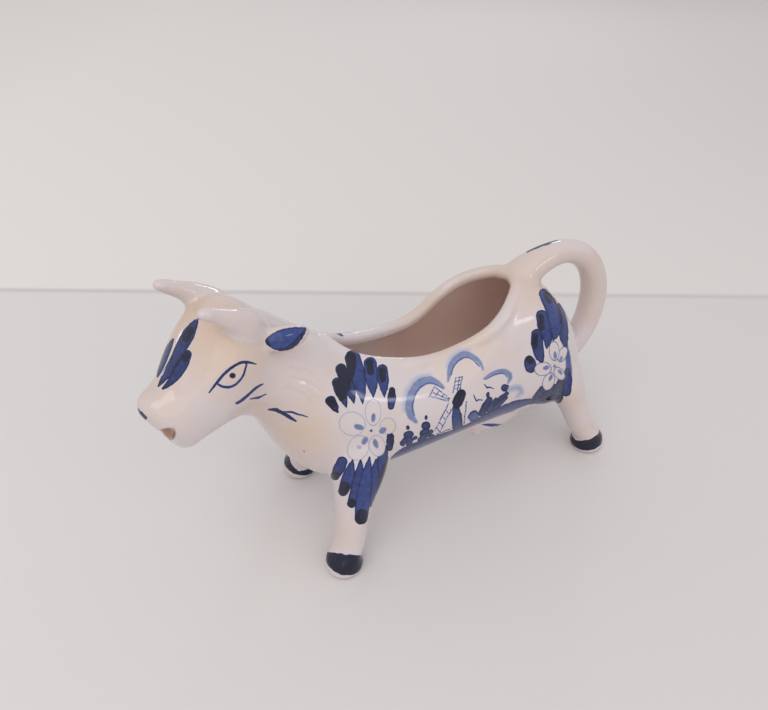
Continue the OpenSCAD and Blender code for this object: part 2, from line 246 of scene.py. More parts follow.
# The painted band of each hoof, in millimetres over the table: the height of its top edge at the middle of the hoof,
# with its slopes along x and y, and the same of its low edge.
HOOF_BANDS = {"front_left": ((5.8, -0.78, -1.03), (2.3, -0.32, 0)),
              "front_right": ((10.1, -0.04, 1.16), (2.4, -0.35, 0.07)),
              "rear_left": ((5.4, 0.15, -0.6), (2.4, 0.15, -0.1)),
              "rear_right": ((5.4, 0.15, 0.6), (2.4, 0.15, 0.1))}
# The limits of the top edge, the lowest low edge, the narrowest band, and the height up to which there can be one.
BAND_TOPS, BAND_LOWEST, BAND_NARROWEST, BAND_REACH = (4.6, 9.2), 0.8, 1.6, 11 * MM
NO_BAND = -1
hoof_middles = {}
for foot in HOOF_BANDS:
    places = [v.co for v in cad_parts[foot + "_hoof"].data.vertices]
    hoof_middles[foot] = sum(places, Vector()) / len(places)


def in_band(p, part):
    """how many millimetres inside the painted band of its hoof"""
    foot = part.rsplit("_", 1)[0]
    if foot not in HOOF_BANDS or p.z > BAND_REACH:
        return NO_BAND
    off = (p - hoof_middles[foot]) / MM
    top, low = [height + along_x * off.x + along_y * off.y for height, along_x, along_y in HOOF_BANDS[foot]]
    top = min(BAND_TOPS[1], max(BAND_TOPS[0], top))
    low = min(top - BAND_NARROWEST, max(BAND_LOWEST, low))
    return min(top - p.z / MM, p.z / MM - low)


def put(name, kind, domain, values):
    """values that the skin carries, one for each point or face"""
    field = "vector" if kind == "FLOAT_VECTOR" else "value"
    skin.data.attributes.new(name, kind, domain).data.foreach_set(field, values)


# The brush can't reach the inner wall, what the painter sees at a grazing angle, or what another form hides; a ray to
# the painter's eye starts this far off the skin.
INNER_WALL, GRAZING, CLEAR = -0.2, (-0.05, 0.06), 2 * MM
# Between these, the cream outside gives way to the painted lighter inner wall, and the brown painted shade of the
# mouth to the glaze round it.
OUTER, MOUTH_EDGE = (-0.95, -0.4), (1.02, 1.16)
# Each point carries where it falls on the sheet and whether the brush reaches it, brought over to the near side and as
# it stands; the normal of the whole skin; and how far it is outside, warm, in the mouth and in a hoof's band.
VECTORS, NUMBERS = ("sheet", "sheet_ahead", "skin_normal"), ("outside", "warmth", "mouth", "band")
carried = {name: [] for name in VECTORS + NUMBERS}
for v in skin.data.vertices:
    part, normal = part_at(v.co), v.normal.copy()
    looks_out = outward(v.co, normal) if part in HOLLOW_PARTS else 1
    near, near_normal = to_near_side(v.co, normal, part)
    for name, p, n in (("sheet", near, near_normal), ("sheet_ahead", v.co, normal)):
        eyeward = (SHEET_PLACE - p).normalized()
        seen = 0 if looks_out < INNER_WALL else ease(*GRAZING, n.dot(eyeward))
        if seen and clay.ray_cast(p + eyeward * CLEAR, eyeward)[0]:
            seen = 0
        carried[name].extend((*on_sheet(p), seen))
    warm = max(share * ease(reach, 0, (near - spot).length) for spot, reach, share in warm_spots)
    carried["skin_normal"].extend(normal)
    carried["outside"].append(ease(*OUTER, looks_out))
    carried["warmth"].append(warm * HORN_WARMTH if part.endswith("horn") else warm)
    carried["mouth"].append(1 - ease(*MOUTH_EDGE, from_mouth(v.co)) if part == "head" else 0)
    carried["band"].append(in_band(v.co, part))
for name in VECTORS:
    put(name, "FLOAT_VECTOR", "POINT", carried[name])
for name in NUMBERS:
    put(name, "FLOAT", "POINT", carried[name])

# ---------------------------------------------------------------- the brushwork
# Each stroke: tool, ink from 0 to 1, then its shape on the sheet. Three numbers are a point of a run (across,
# down, half width); five are an oval (across, down, half width, half height, tilt in degrees).
# Near shoulder: dark-tipped strokes above and below a flower with five petals.
SHOULDER = [
    ("brush", 0.82, (330.8, 401, 5.2), (335, 407.5, 3.8), (337.2, 411.8, 1.4)),
    ("coat", 0.98, (331, 400.5, 4.6), (333, 405, 3.4)),
    ("brush", 0.74, (336.9, 382.5, 5), (341, 393, 5.6), (344.8, 402, 3), (346.6, 408, 0.3)),
    ("coat", 0.97, (337, 384, 4.8), (340, 392, 3.8)),
    ("brush", 0.74, (341, 369.3, 5.6), (347, 382, 6.6), (351.2, 393, 4.6), (353, 399.6, 2.2), (353.7, 403.6, 0.3)),
    ("coat", 0.99, (341.5, 370, 5.4), (345.6, 381, 5.2), (347.5, 388, 3.6)),
    ("brush", 0.7, (352.6, 358, 7.8), (356.6, 372, 8), (360.2, 386, 6), (362.2, 396, 3.2), (363, 404, 0.3)),
    ("coat", 1.0, (349.6, 357, 7), (350.4, 366, 6.4), (346.4, 376, 7.4), (343, 385, 7.2), (340.4, 395, 6.2)),
    ("brush", 0.66, (370.2, 363.8, 6.6), (371.2, 376, 6.8), (372.6, 387, 4.6), (373.2, 393, 2.2),
     (373.5, 397.6, 0.3)),
    ("coat", 0.97, (369.6, 363, 4.4), (370.4, 372, 3.8)),
    ("brush", 0.68, (382.4, 369.6, 5.2), (383, 378, 5.8), (384, 388, 4), (384.4, 397.4, 0.3)),
    ("coat", 0.96, (382.4, 370.5, 4.0), (382.8, 379, 3.6)),
    ("brush", 0.72, (392, 390.4, 3.2), (391.7, 397.6, 4.3), (391, 406.8, 3)),
    ("coat", 0.99, (391.8, 390.8, 3.6), (391.8, 395, 3.4)),
    ("brush", 0.7, (385, 448, 3), (382, 462, 6), (379.6, 478, 4.6), (376.4, 492, 2.4)),
    ("brush", 0.68, (376.4, 460, 1.4), (374.4, 474, 5), (372.6, 488, 5.4), (369, 504, 3.4)),
    ("brush", 0.7, (360.6, 459.8, 0.8), (359.4, 474, 4.8), (355.4, 490, 5), (351.6, 503.6, 4.4)),
    ("brush", 0.68, (352.6, 460, 0.8), (349.6, 472, 5.6), (346.6, 482, 6.2), (343.4, 491, 5)),
    ("brush", 0.66, (369.6, 457.4, 0.8), (367, 474, 5.4), (364.2, 494, 7.4), (361.6, 512, 7), (361, 518, 6.4)),
    ("brush", 0.72, (342.2, 461.6, 5.2), (338.6, 469, 5.6), (335, 476, 4.2)),
    ("brush", 0.8, (390.4, 436.4, 3.6), (390.2, 441.8, 3.9), (389.4, 448, 3)),
    ("coat", 0.96, (336, 476, 5), (334.6, 480, 4.6)), ("coat", 0.97, (344.4, 486.4, 5.6), (342.8, 493, 5.6)),
    ("coat", 0.99, (352, 502.4, 4.6), (351, 506, 5)), ("coat", 1.0, (361.8, 514.6, 6.4), (361, 520, 7)),
    ("coat", 0.9, (387.4, 458, 2.2), (382, 474, 2.6), (378, 488, 2.2)),
    ("coat", 0.92, (391.6, 436.6, 2.8), (391.4, 446, 2.4)), ("petal", 0.27, (388, 426, 7.6, 8, -15)),
    ("petal", 0.27, (352.2, 423.8, 13, 11.6, 8)), ("petal", 0.27, (358.2, 447.8, 10.2, 12.8, 25)),
    ("petal", 0.27, (377.3, 445.8, 8, 10.6, -12)), ("petal", 0.27, (373.1, 412.4, 7.8, 13.2, 0)),
    ("dab", 0.4, (373.4, 417.8, 2.2, 4.6, 4)), ("dab", 0.4, (358.8, 427, 5.2, 2.8, 18)),
    ("dab", 0.38, (382.8, 430.4, 4, 2.9, -30)), ("dab", 0.38, (364.9, 440.8, 2.8, 4.4, 25)),
    ("dab", 0.2, (359.2, 447.2, 2.4, 2.2, 0)), ("dab", 0.38, (375.6, 443.5, 2.5, 5, -20)),
    ("dab", 0.6, (371.2, 430.8, 1.5, 1.3, 0))]
# Landscape: three clouds and a wisp.
CLOUDS = [
    ("wash", 0.15, (429, 376, 2.6), (418.4, 378, 2.8), (409.6, 386.8, 2.8), (405.4, 398, 2.8), (404.6, 410, 2.6)),
    ("tint", 0.34, (444, 387.6, 1), (437.6, 382.4, 2.6), (429.4, 379.4, 3.6), (420.6, 382, 4), (413.6, 389, 4),
     (409.6, 399, 3.8), (408.9, 409.6, 3.7), (411.4, 417, 3.4), (416, 421.6, 2)),
    ("pen", 0.5, (443.6, 388.8, 0.6), (437, 385, 0.9), (430, 382.8, 1), (423, 385.2, 1), (417, 391.4, 1),
     (413.2, 400, 1), (412.4, 409, 1), (414.4, 415.6, 0.8)),
    ("wash", 0.15, (447.4, 366, 2.4), (452, 356.8, 2.6), (460, 351.2, 2.6), (468.6, 350.6, 2)),
    ("tint", 0.36, (448.3, 381.4, 1), (449, 375, 2.2), (450.6, 367.4, 3.2), (454.8, 360, 3.5), (461, 355, 3.4),
     (467.7, 354.2, 3), (475.2, 358, 2.4), (480.8, 363.6, 1.8), (483, 369.9, 0.8)),
    ("pen", 0.54, (451, 374.6, 0.8), (453.2, 367.4, 0.9), (457.2, 361.8, 0.9), (462, 358.2, 0.9),
     (467.4, 357.2, 0.8), (473.6, 360.6, 0.7), (479, 366, 0.7)),
    ("tint", 0.35, (483.7, 379, 0.7), (490.3, 374.4, 1.5), (498.3, 371.4, 2.1), (505, 371.4, 2.4),
     (509.6, 374.6, 2.4), (509.8, 379, 1.8), (507.7, 383, 0.8)),
    ("pen", 0.56, (485, 379.6, 0.5), (491.2, 376.2, 0.7), (498.4, 373.6, 0.7), (504.6, 374, 0.7), (507, 377, 0.6)),
    ("wash", 0.24, (507, 391, 1.6), (513, 388.4, 2.6), (519, 388.3, 3), (521, 392.3, 2.4), (517, 396.3, 1))]
# Its windmill: body, cap, four sails of dry lattice, and a stay.
WINDMILL = [
    ("brush", 0.68, (455.8, 408.4, 3.4), (456.8, 416, 5), (457.4, 427, 5.2)),
    ("coat", 0.9, (460.6, 411, 1.4), (461.4, 427, 1.6)), ("coat", 0.84, (452.8, 413, 0.5), (452.8, 427, 0.6)),
    ("brush", 0.97, (461.4, 393.8, 4.3), (459.6, 397.6, 5), (457.4, 402.4, 5), (457, 405.6, 3.2)),
    ("dry", 0.86, (453, 393, 0.42), (455.9, 377.4, 0.42)), ("dry", 0.86, (457.4, 391, 0.42), (459.6, 377.4, 0.42)),
    ("dry", 0.86, (460, 389.8, 0.42), (462.4, 376.7, 0.42)), ("dry", 0.8, (455.9, 377.6, 0.4), (462.4, 376.9, 0.4)),
    ("dry", 0.8, (455.2, 381.2, 0.4), (461.6, 380.4, 0.4)), ("dry", 0.8, (454.4, 385, 0.4), (461, 384.4, 0.4)),
    ("dry", 0.8, (453.8, 388.8, 0.4), (460.2, 388.2, 0.4)), ("dry", 0.86, (434.6, 387, 0.45), (449.8, 398.5, 0.5)),
    ("dry", 0.86, (429.1, 396.3, 0.45), (448.7, 400.9, 0.5)), ("dry", 0.8, (431.6, 391.8, 0.4), (449, 399.6, 0.4)),
    ("dry", 0.84, (434.6, 387, 0.4), (429.1, 396.3, 0.5)), ("dry", 0.8, (439, 390.4, 0.4), (434.6, 397.5, 0.4)),
    ("dry", 0.8, (443.6, 393.8, 0.4), (440.6, 399, 0.4)), ("dry", 0.86, (448.7, 403.9, 0.45), (434.6, 431, 0.45)),
    ("dry", 0.86, (451.5, 409.3, 0.45), (438.3, 435.4, 0.45)),
    ("dry", 0.8, (436.7, 434.3, 0.4), (450.9, 428.9, 0.4)), ("dry", 0.8, (445.6, 410, 0.4), (449, 414.4, 0.4)),
    ("dry", 0.8, (442.4, 416, 0.4), (446, 420.4, 0.4)), ("dry", 0.8, (439.2, 422, 0.4), (443, 426.4, 0.4)),
    ("dry", 0.8, (436.4, 427.6, 0.4), (440, 432, 0.4)), ("dry", 0.9, (466.5, 401.7, 0.5), (463.9, 423.5, 0.5))]
# Trees, bushes, two birds and the band of ground.
TREES = [
    ("brush", 0.72, (407.8, 427.8, 1.8, 2.2, 0)), ("brush", 0.74, (408.5, 434.8, 5.2, 3.8, -15)),
    ("brush", 0.68, (415, 438, 2.6, 1.9, -20)), ("brush", 0.72, (406.6, 438.4, 2.6), (402.6, 443.4, 2.8)),
    ("brush", 0.68, (411.6, 439.6, 2), (408.8, 444.4, 2.6)), ("brush", 0.72, (426.1, 417.6, 1.4, 2.3, 8)),
    ("brush", 0.78, (425.9, 425.7, 4.5, 4.3, 0)), ("brush", 0.74, (425.6, 433.4, 6, 4.4, -10)),
    ("brush", 0.72, (424.6, 436, 3), (420.6, 440.4, 3)), ("brush", 0.68, (430.8, 431.6, 2.6, 2.2, -20)),
    ("brush", 0.68, (432, 436.6, 2.8, 2.3, -20)), ("tint", 0.5, (473.7, 417, 5.4, 5.2, -20)),
    ("pen", 0.86, (468.4, 418, 0.8), (470.6, 412.8, 0.9), (475.4, 411.4, 0.9), (478.6, 414.6, 0.8)),
    ("coat", 0.8, (469.6, 420, 1), (473.6, 421, 1.2)), ("brush", 0.68, (487.8, 395, 1.8, 3, 10)),
    ("brush", 0.78, (489.4, 399.6, 3), (485.4, 406, 3.4), (482, 413, 3.6)),
    ("brush", 0.68, (496.2, 399.8, 2.2), (489.4, 410, 3)), ("brush", 0.72, (498, 401.4, 2.2), (495.6, 405.2, 2.4)),
    ("brush", 0.74, (504.4, 387.8, 3.2, 3.9, 35)), ("brush", 0.68, (507.6, 386, 1.4), (505.4, 390.4, 1.4)),
    ("brush", 0.7, (507, 393.4, 1.8), (500.4, 398.6, 2.4)), ("brush", 0.72, (506, 397.6, 2), (495.4, 407.6, 2.6)),
    ("pen", 0.8, (484.3, 384.3, 0.4), (487, 387.7, 0.7), (489.7, 387, 0.6), (493.7, 389, 0.4)),
    ("pen", 0.8, (473.7, 395, 0.4), (476.3, 401, 0.7), (478.3, 399.7, 0.6), (482.3, 400.3, 0.4)),
    ("brush", 0.68, (394, 459, 3.4), (402, 454, 4.8), (412, 449.4, 5.4), (435, 440.6, 4.8), (455, 433, 3.6),
     (470, 427, 4), (484, 420, 4.8), (497, 413.5, 5), (508, 408.5, 4.8), (520, 403.4, 3.8), (533, 401.2, 2.6),
     (545, 402.4, 1.6)),
    ("coat", 0.88, (396, 455, 0.9), (411, 446.4, 1.1), (435, 437.6, 1.1), (457, 429, 1), (470, 423.4, 1.2),
     (481, 417.6, 1.2), (497, 409.2, 1.2), (512, 402, 1.2), (523, 399.8, 1), (540, 400.6, 0.8)),
    ("coat", 0.76, (405, 455, 0.6), (437, 442.4, 0.7), (470, 429, 0.9), (500, 413.4, 1), (520, 404.6, 0.8)),
    ("wash", 0.2, (483.7, 421.7, 1.2), (498.3, 415, 1.4), (511.7, 408.3, 1.2))]
# One leaf below the ground.
LEAF = [
    ("pen", 0.7, (482.3, 424.3, 0.4), (490, 425, 1.5), (496, 425, 1.4), (501.7, 424.6, 0.4))]
# Near hip: the same strokes and flower as on the shoulder.
HIP = [
    ("tint", 0.62, (565.6, 344, 1.8), (568, 358, 2.6), (569, 374, 3), (567.6, 390, 3.6)),
    ("brush", 0.72, (559.7, 306.3, 3.3), (562.4, 322, 4.9), (564, 338, 4.3), (565.5, 348.4, 0.8)),
    ("brush", 0.72, (536.6, 334, 5.1), (537, 343, 6.1), (539.7, 356.3, 4.7), (541.8, 361.6, 1.2)),
    ("coat", 0.95, (535.4, 335, 3.2), (535, 346, 3.6)),
    ("brush", 0.7, (541.8, 315.5, 5.7), (543.7, 324.7, 6.7), (547.6, 338, 5.1), (546.6, 348.4, 0.6)),
    ("coat", 0.95, (541, 317, 3.4), (541.8, 328, 3.6)),
    ("brush", 0.68, (543.7, 293.5, 4.9), (549, 302.4, 6.5), (555, 316.8, 6.9), (556, 330, 5.9), (553.4, 340.5, 0.6)),
    ("coat", 0.97, (545.6, 294.6, 3.0), (550, 301, 3.4)), ("coat", 0.84, (558.4, 304, 2.2), (561.4, 322, 2.4)),
    ("brush", 0.74, (530, 364.2, 6, 8.8, -8)), ("coat", 0.98, (529.2, 358.8, 4.6), (530.2, 361, 4.0)),
    ("brush", 0.8, (542.4, 389.2, 3.3), (536.6, 398.4, 4.3)), ("brush", 0.82, (554.2, 388, 3.9), (547.6, 398, 6.5)),
    ("brush", 0.74, (567.2, 370, 2.0), (567, 380, 5.3), (565.6, 391, 5.5)),
    ("brush", 0.84, (560.8, 382.6, 3.9), (556.4, 397, 6.7)),
    ("coat", 0.92, (553.6, 396.6, 3.4), (548.4, 399.6, 3.2)), ("petal", 0.54, (562.6, 354.2, 4.2, 8, 22)),
    ("petal", 0.54, (559.4, 373.6, 4.6, 7, -34)), ("petal", 0.54, (542.9, 369, 8.4, 6.6, -8)),
    ("petal", 0.54, (548.6, 381.6, 5.4, 9, 20)), ("petal", 0.54, (554.2, 351, 5, 9.6, -4)),
    ("dab", 0.4, (555, 355.4, 1.7, 4, 0)), ("dab", 0.4, (546.3, 367.8, 3.4, 2, -15)),
    ("dab", 0.4, (560.2, 372.2, 1.8, 3.2, -34)), ("dab", 0.44, (550.6, 377.8, 1.7, 3.6, 20)),
    ("dab", 0.38, (561, 359, 1.5, 3, 24)), ("dab", 0.4, (554.8, 366.2, 1.6, 1.6, 0))]
# Forehead: curved strokes on both sides of the middle.
FOREHEAD = [
    ("brush", 0.76, (172.8, 339.4, 1.2), (168.6, 348.3, 3), (164, 359.4, 3.2), (160, 370.6, 2.2),
     (157.5, 376.7, 0.8)),
    ("brush", 0.76, (197.8, 319, 1.2), (193, 326.5, 4.4), (187.8, 335.6, 6.4), (181, 348, 5.8), (174.6, 360, 4.7),
     (166, 375, 4.2), (158.4, 386, 1)),
    ("coat", 0.96, (190.8, 330, 4.2), (186, 338, 4.6)),
    ("brush", 0.76, (187.6, 354, 4), (184.4, 362, 5.2), (178, 372, 5.4), (170.6, 382, 3.6), (162.6, 388.8, 0.9)),
    ("coat", 0.97, (187, 354.6, 3.8), (185, 359, 3.8))]
# Face and neck: brow line, eye, mouth and creases.
FACE = [
    ("pen", 0.82, (209.2, 392.8, 0.8), (215.3, 384.4, 1.3), (222.2, 376, 1.4), (230.6, 368.3, 1.4),
     (238.9, 363.3, 1.3), (245.8, 362.2, 1.5), (251.4, 362.8, 1), (256.1, 364.2, 0.5)),
    ("pen", 0.8, (216.7, 383, 0.8), (220.8, 385.8, 1.2), (227.8, 387.2, 1.2), (236.1, 384.4, 1.2),
     (241.7, 378.3, 1.1), (245, 370.6, 1), (246.7, 364.4, 0.9)),
    ("pen", 0.96, (232.5, 375.6, 3.2, 2.6, 10)), ("pen", 0.86, (245.6, 362.6, 1.9, 1.6, 0)),
    ("pen", 0.84, (236.7, 403.3, 1.1), (243, 399.2, 1.6), (250, 393.3, 1.2), (257, 387.2, 1.3), (263, 383.9, 0.6)),
    ("pen", 0.8, (250, 398.9, 0.5), (258.3, 397.8, 1.1), (266.1, 394.4, 0.5)),
    ("pen", 0.88, (268.6, 409.4, 0.9), (276.4, 410, 1.7), (286.1, 415, 1.8), (295.8, 421.1, 1)),
    ("pen", 0.82, (282.8, 411.7, 0.6), (291.7, 412.2, 1.1), (307.5, 417, 0.5)),
    ("pen", 0.98, (141, 412.8, 1.5), (145.6, 418, 1.7)), ("pen", 0.6, (172.5, 444, 0.6), (173, 444.3, 0.6)),
    ("pen", 0.6, (303.7, 451.3, 0.6), (304.2, 451.5, 0.6))]
# Nostrils.
NOSE = [
    ("pen", 0.95, (134.6, 400.6, 1.2), (135.4, 405.4, 1.4))]
# Inside of the ears.
EARS = [
    ("brush", 0.64, (270, 341.5, 4.6), (277, 341, 9), (286, 339.5, 11), (296, 334.5, 7.6), (304.5, 329.5, 2.2)),
    ("coat", 0.84, (276, 351, 3), (288, 349, 3), (299, 338, 2.6), (304, 331, 2)),
    ("coat", 0.84, (267, 338, 2), (268.6, 347, 2.4))]
# A line on top of the tail.
TAIL = [
    ("pen", 0.97, (527, 252, 0.6), (536, 247.2, 1.4), (545, 243.6, 1.8), (557, 240.4, 1))]
# Folds that are pressed into the neck.
FOLDS = [
    ("wash", 1.0, (293, 368, 0.8), (306, 371, 1.4), (322, 378, 0.8)),
    ("wash", 1.0, (292, 378, 0.8), (306, 382, 1.4), (320, 391, 0.8)),
    ("wash", 0.8, (288, 388, 0.8), (302, 394, 1.2), (312, 404, 0.8))]

# Patches that get their own strokes: parts, layers of strokes on a sheet, and the patch's left, top, right, low sides.
BODY_PARTS = ("trunk", "neck", *LEGS)
PATCHES = {
    "shoulder_top": (BODY_PARTS, [("sheet", SHOULDER)], (318, 340, 400, 427)),
    "shoulder_low": (BODY_PARTS, [("sheet", SHOULDER + TREES)], (318, 427, 400, 530)),
    "panel_left": (BODY_PARTS, [("sheet", SHOULDER + CLOUDS + WINDMILL + TREES)], (400, 340, 442, 475)),
    "panel_middle": (BODY_PARTS, [("sheet", CLOUDS + WINDMILL + TREES)], (442, 340, 478, 475)),
    "panel_right": (BODY_PARTS, [("sheet", CLOUDS + TREES + HIP)], (478, 365, 526, 475)),
    "panel_top": (BODY_PARTS, [("sheet", CLOUDS)], (478, 345, 516, 365)),
    "hip_top": (BODY_PARTS, [("sheet", HIP)], (516, 280, 600, 345)),
    "hip_low": (BODY_PARTS, [("sheet", HIP + TREES)], (516, 345, 600, 412)),
    "udder": (("udder",), [("sheet", LEAF)], (470, 400, 520, 450)),
    "tail_root": (("trunk", "tail_handle"), [("sheet_ahead", TAIL)], (515, 232, 570, 262)),
    "ear": (("head", "neck", "left_ear", "right_ear"), [("sheet", EARS + FACE)], (250, 310, 320, 357)),
    "face": (("head", "neck", "trunk"), [("sheet", FACE), ("sheet", FOLDS)], (200, 350, 318, 430)),
    "brow": (("head",), [("sheet_ahead", FOREHEAD + NOSE), ("sheet", FACE)], (120, 300, 200, 460)),
    "throat": (("neck", "trunk"), [("sheet", FACE)], (262, 430, 318, 460))}
# a stroke this many steps off a patch can still reach it with its soft edge
SPREAD = 3
# for each tool: the width of its soft edge, and the extra ink that pools along the edge
TOOLS = {"brush": (0.6, 0.36), "coat": (1.4, 0), "tint": (1.6, 0), "wash": (4.5, 0), "pen": (0.8, 0),
         "dry": (0.8, 0), "dab": (1.4, 0), "petal": (0.8, 0)}
# how the ink of a tool is laid; all others lay it into the ink below
WAYS = {"brush": "over", "coat": "within"}
# half the width of a petal's outline, in steps
OUTLINE = 0.36
# an oval is given by this many numbers
OVAL_NUMBERS = 5


def near_patch(points, sides):
    """whether a stroke comes near a patch"""
    left, top, right, low = sides
    across = [p[0] + s * (p[2] + SPREAD) for p in points for s in (-1, 1)]
    down = [p[1] + s * (p[-2 if len(p) == OVAL_NUMBERS else 2] + SPREAD) for p in points for s in (-1, 1)]
    return max(across) > left and min(across) < right and max(down) > top and min(down) < low


# ---------------------------------------------------------------- materials
# the last of these colours is painted shade: a brown laid inside the mouth's cut, where the hole is dark
CREAM, PEACH, SPECK, MOUTH_SHADE = "#d1c6c5", "#ceb39a", "#5c5048", "#ab8a74"
# the inner wall, with painted light and shade: lighter toward the neck, where light falls in, and darker deeper down;
# both are paler than the cream outside, to stand in for light falling into the hollow
INNER_LIT, INNER_SHADED = "#fdeee8", "#eed4c8"
# cobalt from no ink to the thickest: ink, colour and cover
COBALT = ((0, "#b4b8c6", 0), (0.12, "#a9aec2", 0.75), (0.34, "#7983a4", 1), (0.56, "#384c8a", 1),
          (0.74, "#27366c", 1), (0.88, "#181e44", 1), (1, "#0f1228", 1))
# sizes of the glaze's patterns, in millimetres
CLOUDY, MOTTLED, SPECKS_APART, STREAKED, WAVY = 25, 4, 8, 1.2, 9
# the span of the streaks and the least share of ink in them; depth and strength of the glaze's waves and of the folds
STREAKS, WAVES, FOLDED = (0.46, 0.78), (0.3 * MM, 0.3), (0.35 * MM, 0.8)
# the span of the mottling from cream to peach, with the share of its finer part; core and rim of a speck, in shares
# of the distance between specks, and its cover
TONES, FINE_SHARE, SPECK_EDGE, SPECK_COVER = (0.66, 1.3), 0.3, (0.014, 0.026), 0.5
# the brush's edge wanders by WANDER steps of the sheet, over WANDER_SIZE millimetres; the dry brush skips over
# SKIP_SIZE millimetres, where it leaves SKIP_INK of its ink
WANDER_SIZE, WANDER, SKIP_SIZE, SKIPS, SKIP_INK = 2, 1.4, 0.6, (0.4, 0.52), 0.25
# size of the unevenness of a hoof band's edge, in millimetres, and the span in which its ink sets in
BAND_UNEVEN, BAND_EDGE = 2.5, (0.35, 0.65)
# where the painted light on the inner wall gives way to its painted shade, along x
INNER_SHADE_FROM = (-5 * MM, 7 * MM)
# in a Mix node that is set to colours, these are the two it takes and the one it gives
FIRST, SECOND, COLOURS = 6, 7, {"data_type": "RGBA", "out": 2}


def colour(code):
    """an sRGB hex colour as the linear values that the shader takes"""
    parts = [int(code[i:i + 2], 16) / 255 for i in (1, 3, 5)]
    return tuple(c / 12.92 if c <= 0.04045 else ((c + 0.055) / 1.055) ** 2.4 for c in parts) + (1,)


def scale(size):
    """the scale of a pattern whose lumps are that many millimetres across"""
    return 1 / (size * MM)


def add(tree, kind, *values, sockets=None, out=0, **settings):
    """a node with its settings; its first sockets take the values, and others are named; it gives one output"""
    made = tree.nodes.new("ShaderNode" + kind)
    for name, value in settings.items():
        setattr(made, name, value)
    for socket, value in [*enumerate(values), *(sockets or {}).items()]:
        if isinstance(value, bpy.types.NodeSocket):
            tree.links.new(value, made.inputs[socket])
        else:
            made.inputs[socket].default_value = value
    return made.outputs[out]


def group(name, takes, gives):
    """a tree of nodes with named sockets to take from and give to"""
    tree = bpy.data.node_groups.new(name, "ShaderNodeTree")
    for sockets, side in ((takes, "INPUT"), (gives, "OUTPUT")):
        for label, kind in sockets.items():
            tree.interface.new_socket(label, in_out=side, socket_type="NodeSocket" + kind)
    return tree, tree.nodes.new("NodeGroupInput").outputs, tree.nodes.new("NodeGroupOutput").inputs


def run_group():
    """how far inside one straight, tapering run of the brush"""
    takes = {"Sheet": "Vector", "Start": "Vector", "Along": "Vector", "Share": "Float", "Width": "Float",
             "Widening": "Float"}
    tree, take, give = group("run of the brush", takes, {"Inside": "Float"})
    away = add(tree, "VectorMath", take["Sheet"], take["Start"], operation="SUBTRACT")
    ahead = add(tree, "VectorMath", away, take["Along"], operation="DOT_PRODUCT", out="Value")
    run = add(tree, "Math", ahead, take["Share"], operation="MULTIPLY", use_clamp=True)
    nearest = add(tree, "VectorMath", take["Along"], sockets={"Scale": run}, operation="SCALE")
    off = add(tree, "VectorMath", away, nearest, operation="DISTANCE", out="Value")
    half_wide = add(tree, "Math", take["Widening"], run, take["Width"], operation="MULTIPLY_ADD")
    tree.links.new(add(tree, "Math", half_wide, off, operation="SUBTRACT"), give["Inside"])
    return tree


def oval_group():
    """how far inside an oval; its two axes are unit lengths over its half sizes"""
    takes = {"Sheet": "Vector", "Middle": "Vector", "Long": "Vector", "Short": "Vector", "Size": "Float"}
    tree, take, give = group("oval", takes, {"Inside": "Float"})
    away = add(tree, "VectorMath", take["Sheet"], take["Middle"], operation="SUBTRACT")
    along, beside = [add(tree, "VectorMath", away, take[axis], operation="DOT_PRODUCT", out="Value")
                     for axis in ("Long", "Short")]
    off = add(tree, "VectorMath", add(tree, "CombineXYZ", along, beside), operation="LENGTH", out="Value")
    short_of_edge = add(tree, "Math", 1, off, operation="SUBTRACT")
    tree.links.new(add(tree, "Math", short_of_edge, take["Size"], operation="MULTIPLY"), give["Inside"])
    return tree


def laying_group(way):
    """ink laid on the ink below, which is the z of the sheet: over hides it, into only darkens it, and within darkens
    only what has ink already"""
    takes = {"Sheet": "Vector", "Inside": "Float", "Crisp": "Float", "Ink": "Float", "Pool": "Float"}
    tree, take, give = group("ink laid " + way, takes, {"Sheet": "Vector"})
    was = add(tree, "SeparateXYZ", take["Sheet"]).node.outputs
    # half the ink lies at the very edge of a stroke
    cover = add(tree, "Math", take["Inside"], take["Crisp"], 0.5, operation="MULTIPLY_ADD", use_clamp=True)
    # the ink pools in a rim about 2 steps wide
    rim = add(tree, "Math", take["Inside"], -0.5, 1, operation="MULTIPLY_ADD", use_clamp=True)
    pooled = add(tree, "Math", rim, take["Pool"], 1, operation="MULTIPLY_ADD")
    ink = add(tree, "Math", take["Ink"], pooled, operation="MULTIPLY")
    if way == "over":
        more = add(tree, "Math", ink, was["Z"], operation="SUBTRACT")
        laid = add(tree, "Math", cover, more, was["Z"], operation="MULTIPLY_ADD")
    else:
        if way == "within":
            # from half the full ink on, it takes all of the coat
            has_ink = add(tree, "Math", was["Z"], 2.0, operation="MULTIPLY", use_clamp=True)
            cover = add(tree, "Math", cover, has_ink, operation="MULTIPLY")
        fresh = add(tree, "Math", cover, ink, operation="MULTIPLY")
        laid = add(tree, "Math", fresh, was["Z"], operation="MAXIMUM")
    tree.links.new(add(tree, "CombineXYZ", was["X"], was["Y"], laid), give["Sheet"])
    return tree


RUN, OVAL = run_group(), oval_group()
LAYING = {way: laying_group(way) for way in ("over", "into", "within")}


def rounded(points):
    """the run with a point added half way along each stretch, on a smooth curve through the four nearest"""
    if len(points) < 4:
        return points
    ends = [points[0], *points, points[-1]]
    out = []
    for i in range(1, len(ends) - 2):
        before, a, b, after = ends[i - 1:i + 3]
        out += [a, tuple((9 * (u + v) - w - z) / 16 for w, u, v, z in zip(before, a, b, after))]
    return out + [points[-1]]


